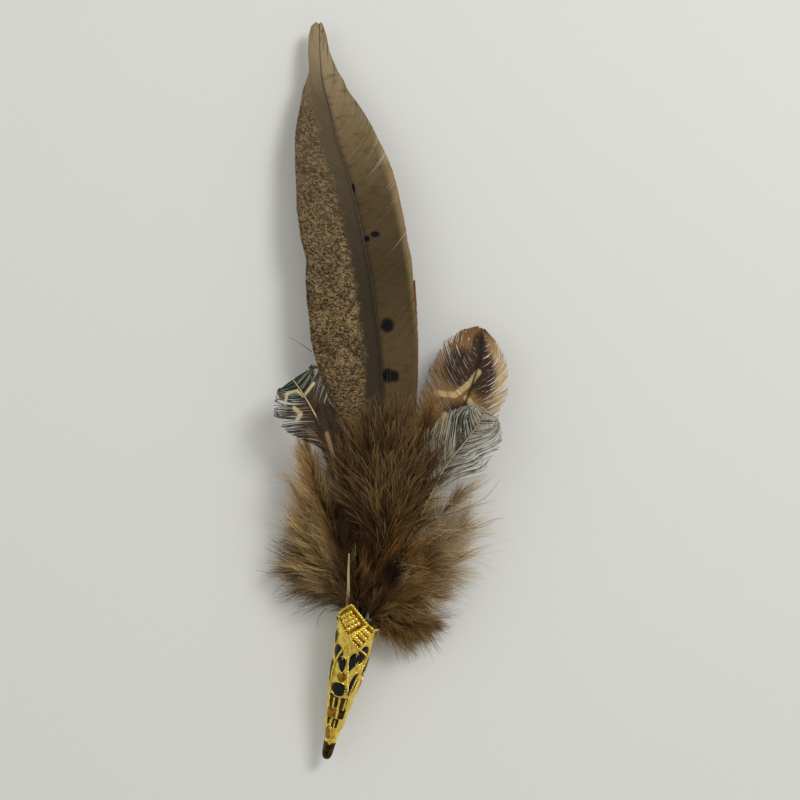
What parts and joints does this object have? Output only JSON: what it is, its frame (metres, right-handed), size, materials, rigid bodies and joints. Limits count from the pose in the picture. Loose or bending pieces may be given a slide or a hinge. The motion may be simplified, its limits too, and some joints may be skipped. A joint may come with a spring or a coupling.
{
  "type": "feather hat pin",
  "caption": "Hat pin with a spray of pheasant feathers and down glued into a gilt cone with black enamel, and a hinged brooch pin with a turning catch behind.",
  "frame": {"origin": "middle of the bounding box at the table, the spray lying on its back", "axes": "+Z from the table up to the spray's front, +Y from the holder's point to the tail feather's tip, +X right"},
  "size_m": [0.0806, 0.2476, 0.0258],
  "materials": {
    "gilt": "polished gilt with a worn satin in the recesses",
    "dark_gilt": "darkened gilt",
    "black_enamel": "glossy black enamel",
    "steel": "nickel-plated, satin",
    "solder": "dull grey solder",
    "glue": "amber hot glue, waxy",
    "dark_quill": "dark brown horn",
    "pale_quill": "cream horn",
    "tail_barbs": "feather vane: speckled left web, plain olive-brown right web",
    "rufous_barbs": "rufous feather vane",
    "scapular_barbs": "feather vane: dark brown, cream and buff",
    "blue_grey_barbs": "loose blue-grey barbs",
    "green_barbs": "black barbs tipped dark green, cream bars",
    "dark_barbs": "dark brown barbs with a tan stripe",
    "golden_barbs": "golden-brown hackle barbs",
    "brown_down": "soft brown down",
    "tan_down": "soft tan down",
    "grey_down": "grey-brown down with long dark barbs"
  },
  "bodies": {
    "spray": {"bare_quill": "pale_quill", "blue_grey_shaft": "pale_quill", "blue_grey_vane": "blue_grey_barbs", "brooch_bar": "steel", "catch_ring": "steel", "crest_granules": "gilt", "crest_plate": "gilt", "crest_rope_border": "gilt", "dark_shaft": "dark_quill", "dark_vane": "dark_barbs", "down_back": "brown_down", "down_front": "brown_down", "down_left": "tan_down", "down_lower_left": "grey_down", "down_lower_right": "brown_down", "down_right": "brown_down", "enamel_fields": "black_enamel", "glue_plug": "glue", "green_shaft": "dark_quill", "green_vane": "green_barbs", "hackle_left_shaft": "dark_quill", "hackle_left_vane": "golden_barbs", "hackle_middle_shaft": "dark_quill", "hackle_middle_vane": "golden_barbs", "hackle_right_shaft": "dark_quill", "hackle_right_vane": "golden_barbs", "hinge_bracket": "steel", "hinge_rivet": "steel", "holder_cone": "gilt", "rope_wires": "gilt", "rufous_shaft": "dark_quill", "rufous_vane": "rufous_barbs", "scapular_shaft": "dark_quill", "scapular_vane": "scapular_barbs", "solder_saddle": "solder", "tail_shaft": "dark_quill", "tail_vane": "tail_barbs", "tip_cap": "dark_gilt"},
    "pin": {"pin_stem": "steel"},
    "catch": {"catch_barrel": "steel"}
  },
  "joints": [
    {"name": "pin_hinge", "type": "hinge", "parent": "spray", "child": "pin", "pos_m": [-0.01061, -0.08516, 0.0017], "axis": [0.9728, -0.2317, 0], "range_deg": [0, 90]},
    {"name": "catch_turn", "type": "hinge", "parent": "spray", "child": "catch", "pos_m": [-0.01622, -0.1087, 0.0017], "axis": [0.2317, 0.9728, 0], "range_deg": [0, 120]}
  ]
}
